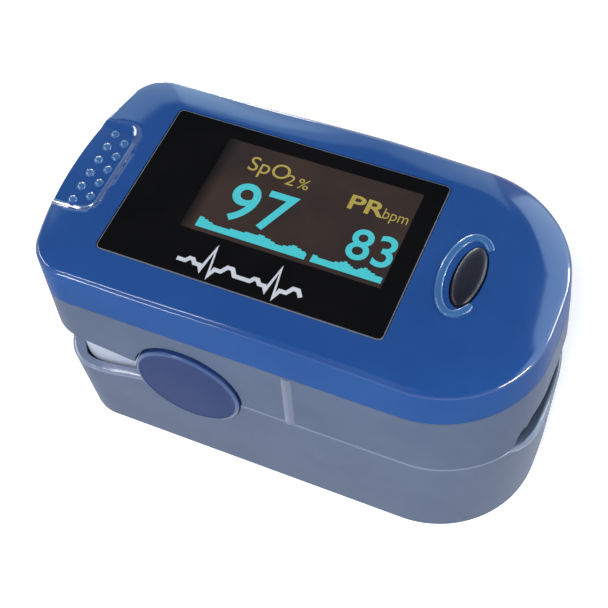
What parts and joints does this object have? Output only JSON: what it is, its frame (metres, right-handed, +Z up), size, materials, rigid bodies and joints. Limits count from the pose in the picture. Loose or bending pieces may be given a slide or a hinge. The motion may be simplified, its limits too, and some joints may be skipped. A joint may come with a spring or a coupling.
{
  "type": "fingertip pulse oximeter",
  "caption": "Sprung fingertip clip of two hinged halves with a display, a push button, padded jaws with an optical sensor and a sliding battery door.",
  "frame": {"origin": "centre of the footprint, on the surface it rests on", "axes": "+X towards the finger opening, +Z up out of the display, +Y towards the rear side as seen from the front hinge cap"},
  "size_m": [0.0592, 0.0316, 0.0331],
  "materials": {
    "cover_plastic": "glossy royal blue moulding",
    "housing_plastic": "satin blue-grey moulding, fine texture",
    "frame_plastic": "satin light grey moulding",
    "window_black": "polished smoked acrylic",
    "display_glass": "two-colour display glass",
    "carrier_white": "white moulded carrier",
    "board_green": "solder mask over laminate",
    "chip_black": "moulded epoxy",
    "screw_steel": "zinc-plated steel",
    "plunger_ivory": "natural nylon",
    "button_grey": "dark grey-brown moulded key",
    "pad_silicone": "soft matte silicone",
    "sensor_window": "red-tinted clear resin",
    "flex_amber": "amber polyimide film",
    "spring_steel": "bright drawn steel",
    "cell_jacket": "plain foil sleeve over a metal can"
  },
  "bodies": {
    "lower": {"lower_housing": "housing_plastic", "lower_frame": "frame_plastic", "lower_finger_pad": "pad_silicone", "led_emitter": "plunger_ivory", "led_window": "sensor_window", "frame_screws": "screw_steel", "cell_front": "cell_jacket", "cell_rear": "cell_jacket", "battery_contacts": "spring_steel", "battery_springs": "spring_steel", "hinge_pins": "spring_steel", "hinge_cap_front": "cover_plastic", "hinge_cap_rear": "cover_plastic"},
    "upper": {"top_cover": "cover_plastic", "display_window": "window_black", "oled_panel": "display_glass", "display_carrier": "carrier_white", "main_board": "board_green", "board_chips": "chip_black", "board_screws": "screw_steel", "tact_switch": "chip_black", "upper_housing": "housing_plastic", "upper_frame": "frame_plastic", "upper_finger_pad": "pad_silicone", "photodiode": "chip_black", "photodiode_window": "sensor_window", "cover_screws": "screw_steel", "flex_cable": "flex_amber", "torsion_springs": "spring_steel"},
    "button": {"power_button": "button_grey", "switch_plunger": "plunger_ivory"},
    "door": {"battery_door": "housing_plastic"}
  },
  "joints": [
    {"name": "jaw_hinge", "type": "hinge", "parent": "lower", "child": "upper", "pos_m": [-0.0091, 0, 0.0172], "axis": [0, -1, 0], "range_deg": [0, 11], "stiffness_Nm_per_rad": 0.25, "springref_deg": -28.65, "deforming": ["torsion_springs", "flex_cable"]},
    {"name": "power_button", "type": "slide", "parent": "upper", "child": "button", "axis": [0, 0, -1], "range_m": [0, 0.0004], "stiffness_N_per_m": 400, "springref_m": -0.0005},
    {"name": "battery_door", "type": "slide", "parent": "lower", "child": "door", "axis": [-1, 0, 0], "range_m": [0, 0.04]}
  ]
}
